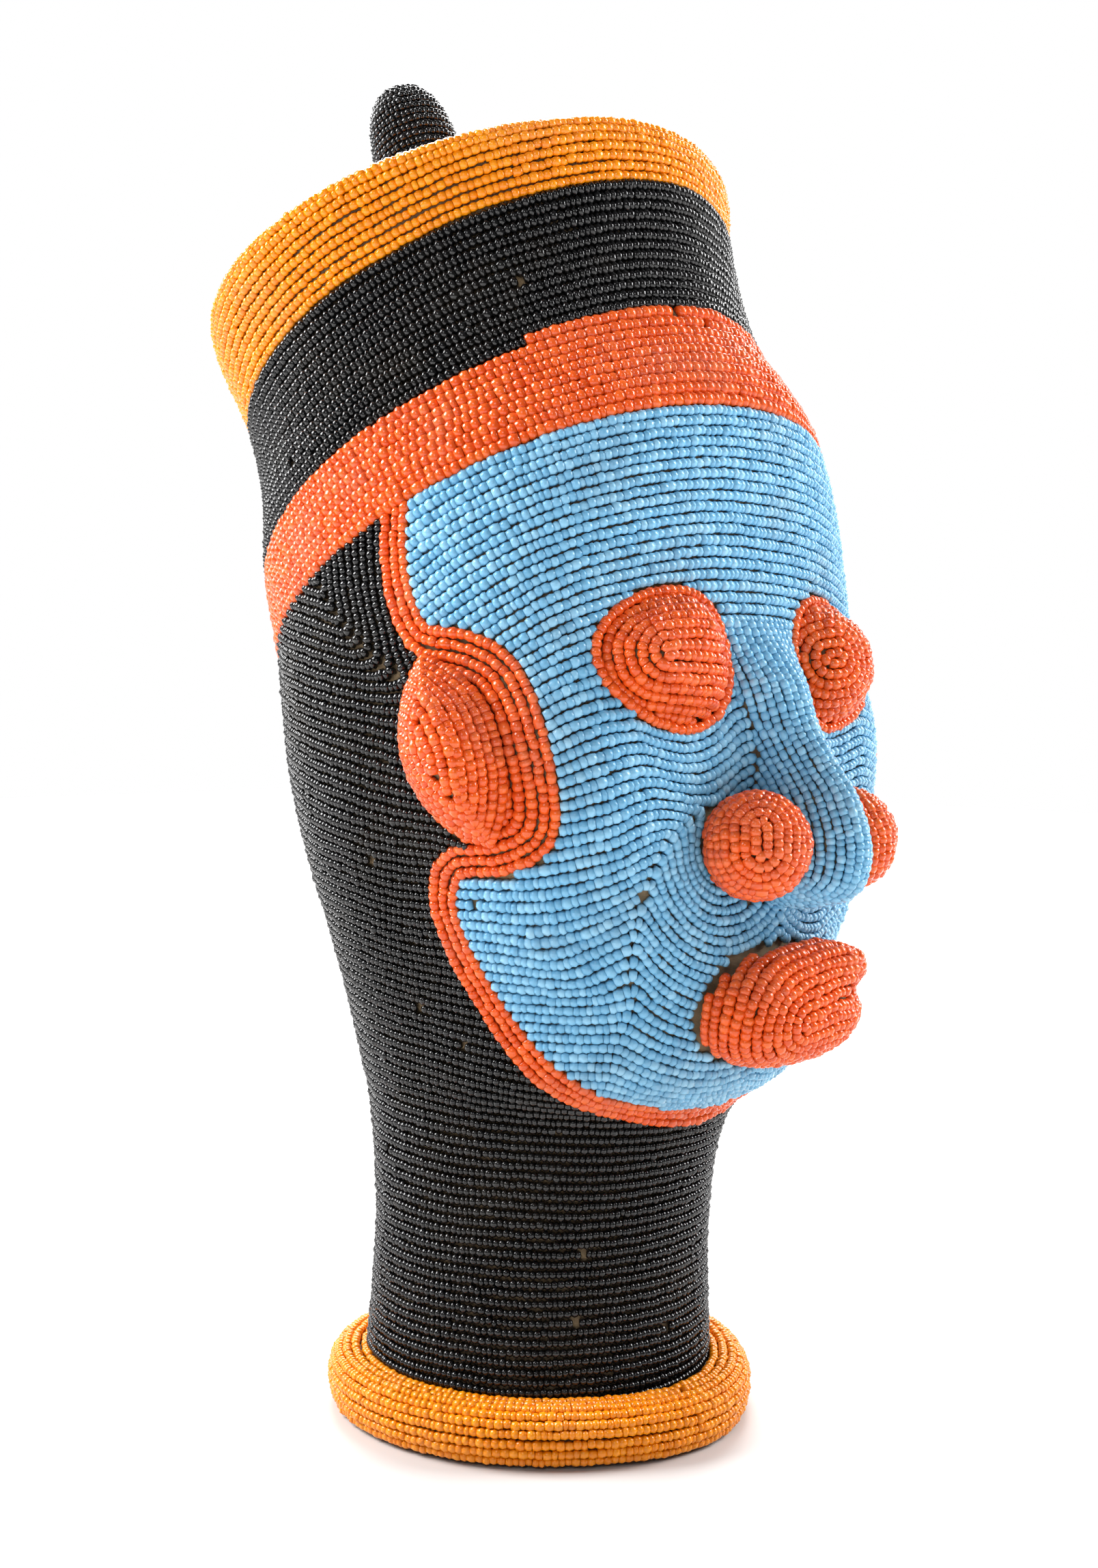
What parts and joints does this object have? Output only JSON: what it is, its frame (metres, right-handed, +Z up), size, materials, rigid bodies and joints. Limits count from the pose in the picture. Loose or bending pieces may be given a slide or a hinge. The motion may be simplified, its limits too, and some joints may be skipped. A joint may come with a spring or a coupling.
{
  "type": "standing beaded head with crown and crest",
  "caption": "Carved head covered with strings of glass beads, standing on a round foot, with a leaning flared crown and a pointed crest.",
  "frame": {"origin": "on the floor, at the middle of the round foot's underside", "axes": "+Z up along the neck, the face looks along -Y, +X is the head's own left"},
  "size_m": [0.1888, 0.2059, 0.3862],
  "materials": {
    "cloth": "coarse tan sacking, dirty, wrapped over a carved wooden form",
    "orange_beads": "opaque glossy glass beads, yellow orange",
    "black_beads": "opaque glossy glass beads, small, black",
    "red_beads": "opaque glossy glass beads, red orange",
    "blue_beads": "opaque glossy glass beads, pale blue"
  },
  "bodies": {
    "root": {"carved_head": "cloth", "foot_beads": "orange_beads", "neck_and_back_beads": "black_beads", "face_outline_beads": "red_beads", "face_beads": "blue_beads", "headband_beads": "red_beads", "crown_band_beads": "black_beads", "crown_rim_beads": "orange_beads", "eye_left": "red_beads", "eye_right": "red_beads", "nostril_left": "red_beads", "nostril_right": "red_beads", "ear_left": "red_beads", "ear_right": "red_beads", "lips": "red_beads", "crest": "black_beads"}
  },
  "joints": []
}
